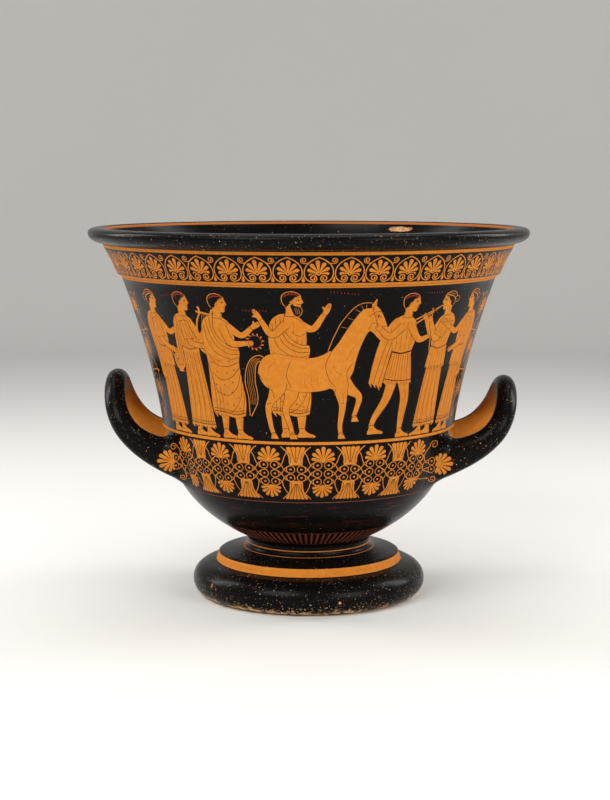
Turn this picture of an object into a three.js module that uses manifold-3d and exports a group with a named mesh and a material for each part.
// Calyx-krater: a large two-handled bowl for mixing wine and water, thrown in red clay.
// The bowl, its foot and both handles are fired as one piece, hollow above and below.
// Millimetres, +Z up, origin on the floor under the middle of the foot.

import * as THREE from 'three';
import { mergeVertices } from 'three/addons/utils/BufferGeometryUtils.js';
import Module from 'manifold-3d';

// ---- driving dimensions ----------------------------------------------------

const height = 460;
const wall = 8;              // thickness of the flaring wall
const turns = 60;            // flats round the pot
const flatLength = 32;       // of one flat along a profile's long curves
const leastFlats = 3;        // on its short ones

const rim = { radius: 272, root: 254.5, depth: 18.5, widestDrop: 6.5, topRadius: 261, mouthRadius: 251.5 };
const band = { bottom: 403.5, bottomRadius: 236.5, top: 438, topRadius: 253.5, bow: 1.5, step: 5 };
const body = { top: 401, bottom: 219, bottomRadius: 182.5, cupTop: 214 };
const stem = { radius: 77.5, baseRadius: 78.5, bottom: 60.5, top: 74 };
const floor = { top: 82, hollowTop: 67 };
const tier = { topRadius: 113.5, top: 53.5, bottomRadius: 116.5, bottom: 42 };
const foot = { radius: 146, widestAt: 19, ringOuter: 126, ringInner: 104 };

const handle = {
  legSpacing: 140,           // between the centres of the two legs
  rootX: 126,                // where a leg starts, inside the bowl, to be cut off by its hollow
  rootZ: 176,
  topRadius: 12.8,           // the rod's radius at the top of the arch
  rootRadius: 33,            // and where it swells into the bowl, measured up and down
  rootSideRadius: 20,        // and sideways
  swell: 3,                  // how late the swelling starts: higher is later
  archShare: 0.42,           // share of the leg's length that bends over into the arch
  sides: 12,
  steps: 36,
};
// The two handles were bent by hand and differ a little.
const leftHandle = { side: -1, reach: 239.5, lean: 1.5, top: 270 };
const rightHandle = { side: 1, reach: 245, lean: 4.5, top: 262 };

// ---- profiles, as radius and height ----------------------------------------

// Foot, stem and lower bowl, from the middle of the hollow underside to the top of the cup.
function traceFootAndCup(path) {
  path.moveTo(0, floor.hollowTop);
  path.quadraticCurveTo(44, floor.hollowTop, 62, 54);
  path.bezierCurveTo(76, 44, foot.ringInner - 6, 26, foot.ringInner, 0);
  path.lineTo(foot.ringOuter, 0);
  path.bezierCurveTo(foot.ringOuter + 12, 0, foot.radius, 8, foot.radius, foot.widestAt);
  path.bezierCurveTo(foot.radius, 32, 136, tier.bottom - 2, tier.bottomRadius + 2, tier.bottom);
  path.lineTo(tier.bottomRadius, tier.bottom + 0.8);
  path.lineTo(tier.topRadius, tier.top - 1);
  path.lineTo(tier.topRadius - 1.5, tier.top);
  path.quadraticCurveTo(94, tier.top + 2, stem.baseRadius + 1.5, stem.bottom - 0.5);
  path.lineTo(stem.baseRadius, stem.bottom + 2);
  path.lineTo(stem.radius, stem.bottom + 5.5);
  path.lineTo(stem.radius, stem.top);
  path.bezierCurveTo(141, 105, 174, 144, body.bottomRadius - 0.2, body.cupTop);
}

// Wall, rim band and the rolled rim, up to the flat top of the rim.
function traceWallAndRim(path) {
  path.lineTo(body.bottomRadius, body.bottom);
  path.bezierCurveTo(191.5, 279, 210, 341, band.bottomRadius - band.step, body.top);
  path.lineTo(band.bottomRadius, band.bottom);
  const bandMiddle = (band.bottomRadius + band.topRadius) / 2 - band.bow;
  path.quadraticCurveTo(bandMiddle, (band.bottom + band.top) / 2, band.topRadius, band.top);
  path.lineTo(rim.root, height - rim.depth);
  const widest = height - rim.widestDrop;
  path.bezierCurveTo(rim.root + 9, height - rim.depth, rim.radius, widest - 7, rim.radius, widest);
  path.bezierCurveTo(rim.radius, height - 2, rim.topRadius + 6, height, rim.topRadius, height);
}

function outerProfile() {
  const path = new THREE.Path();
  traceFootAndCup(path);
  traceWallAndRim(path);
  path.lineTo(0, height);
  return path;
}

// The space inside the bowl, from its floor up the inner wall and out over the mouth.
function hollowProfile() {
  const path = new THREE.Path();
  const bandInner = band.bottomRadius - band.step - wall;
  path.moveTo(0, floor.top);
  path.quadraticCurveTo(56, floor.top + 1, 88, 92);
  path.bezierCurveTo(134, 113, 165, 148, body.bottomRadius - wall - 1, body.bottom);
  path.bezierCurveTo(182.5, 276, 201, 338, bandInner, body.top);
  path.quadraticCurveTo(237, 426, rim.mouthRadius - 3, height - 12);
  path.lineTo(rim.mouthRadius, height - 5);
  // The lip's inner edge rounds off and runs out through the flat top.
  path.quadraticCurveTo(rim.mouthRadius + 0.5, height - 1, rim.mouthRadius + 6, height + 1);
  path.lineTo(rim.mouthRadius + 6, height + 20);
  path.lineTo(0, height + 20);
  return path;
}

// ---- solids ----------------------------------------------------------------

const wasm = await Module();
wasm.setup();

// A closed three.js geometry as a manifold solid, without the slivers that meet at a pole.
function toSolid(geometry) {
  geometry.deleteAttribute('normal');
  geometry.deleteAttribute('uv');
  const merged = mergeVertices(geometry, 1e-3);
  const corners = merged.index.array;
  const kept = [];
  for (let i = 0; i < corners.length; i += 3) {
    const [a, b, c] = corners.slice(i, i + 3);
    if (a !== b && b !== c && c !== a) kept.push(a, b, c);
  }
  return new wasm.Manifold(new wasm.Mesh({
    numProp: 3,
    vertProperties: new Float32Array(merged.attributes.position.array),
    triVerts: new Uint32Array(kept),
  }));
}

function toGeometry(solid) {
  const mesh = solid.getMesh();
  const geometry = new THREE.BufferGeometry();
  geometry.setAttribute('position', new THREE.BufferAttribute(mesh.vertProperties, 3));
  geometry.setIndex(new THREE.BufferAttribute(mesh.triVerts, 1));
  geometry.computeVertexNormals();
  return geometry;
}

function profilePoints(path) {
  const points = [path.curves[0].getPoint(0)];
  for (const curve of path.curves) {
    const flats = curve.isLineCurve ? 1 : Math.max(leastFlats, Math.round(curve.getLength() / flatLength));
    for (let i = 1; i <= flats; i += 1) points.push(curve.getPoint(i / flats));
  }
  return points;
}

function turned(profile) {
  const geometry = new THREE.LatheGeometry(profilePoints(profile), turns);
  geometry.rotateX(Math.PI / 2);
  return toSolid(geometry);
}

// The middle line of one handle. Both legs leave the cup side by side, curve from nearly level
// to upright, and bend over to meet in an arch. At runs from 0 at one root to 1 at the other.
class HandleLine extends THREE.Curve {
  constructor({ side, reach, lean, top }) {
    super();
    this.side = side;
    this.leg = new THREE.CubicBezierCurve(
      new THREE.Vector2(handle.rootX, handle.rootZ),
      new THREE.Vector2(reach - lean - 40, handle.rootZ + 6),
      new THREE.Vector2(reach - lean, top - 57),
      new THREE.Vector2(reach, top),
    );
  }

  getPoint(at, target = new THREE.Vector3()) {
    const along = 1 - Math.abs(2 * at - 1);
    const straight = 1 - handle.archShare;
    // The bend is a quarter of an ellipse, walked at an even pace.
    const bend = Math.max(0, (along - straight) / handle.archShare) * Math.PI / 2;
    const climb = bend > 0 ? straight + handle.archShare * Math.sin(bend) : along;
    const spread = handle.legSpacing / 2 * Math.cos(bend) * Math.sign(at - 0.5);
    const { x, y } = this.leg.getPoint(Math.min(climb, 1));
    return target.set(this.side * x, spread, y);
  }
}

function rodRadius(at, rootRadius) {
  const along = 1 - Math.abs(2 * at - 1);
  return handle.topRadius + (rootRadius - handle.topRadius) * (1 - along) ** handle.swell;
}

// A rod bent along a line: a unit cylinder whose rings are moved to the line and swelled.
function bentRod(line) {
  const geometry = new THREE.CylinderGeometry(1, 1, 1, handle.sides, handle.steps);
  const position = geometry.attributes.position;
  const outward = new THREE.Vector3(line.side, 0, 0);
  const vertex = new THREE.Vector3();
  for (let i = 0; i < position.count; i += 1) {
    vertex.fromBufferAttribute(position, i);
    const at = vertex.y + 0.5;
    const ahead = line.getTangent(at);
    const across = new THREE.Vector3().crossVectors(outward, ahead).normalize();
    const inPlane = new THREE.Vector3().crossVectors(across, ahead);
    const place = line.getPoint(at)
      .addScaledVector(across, vertex.x * rodRadius(at, handle.rootSideRadius))
      .addScaledVector(inPlane, vertex.z * rodRadius(at, handle.rootRadius));
    position.setXYZ(i, place.x, place.y, place.z);
  }
  return toSolid(geometry);
}

function kraterSolid() {
  let solid = turned(outerProfile());
  for (const side of [leftHandle, rightHandle]) solid = solid.add(bentRod(new HandleLine(side)));
  return solid.subtract(turned(hollowProfile()));
}

// ---- the part --------------------------------------------------------------

const blackGloss = new THREE.MeshStandardMaterial({ color: 0x14110f, roughness: 0.3, metalness: 0 });

const krater = new THREE.Mesh(toGeometry(kraterSolid()), blackGloss);
krater.name = 'krater';

const group = new THREE.Group();
group.add(krater);

export default group;
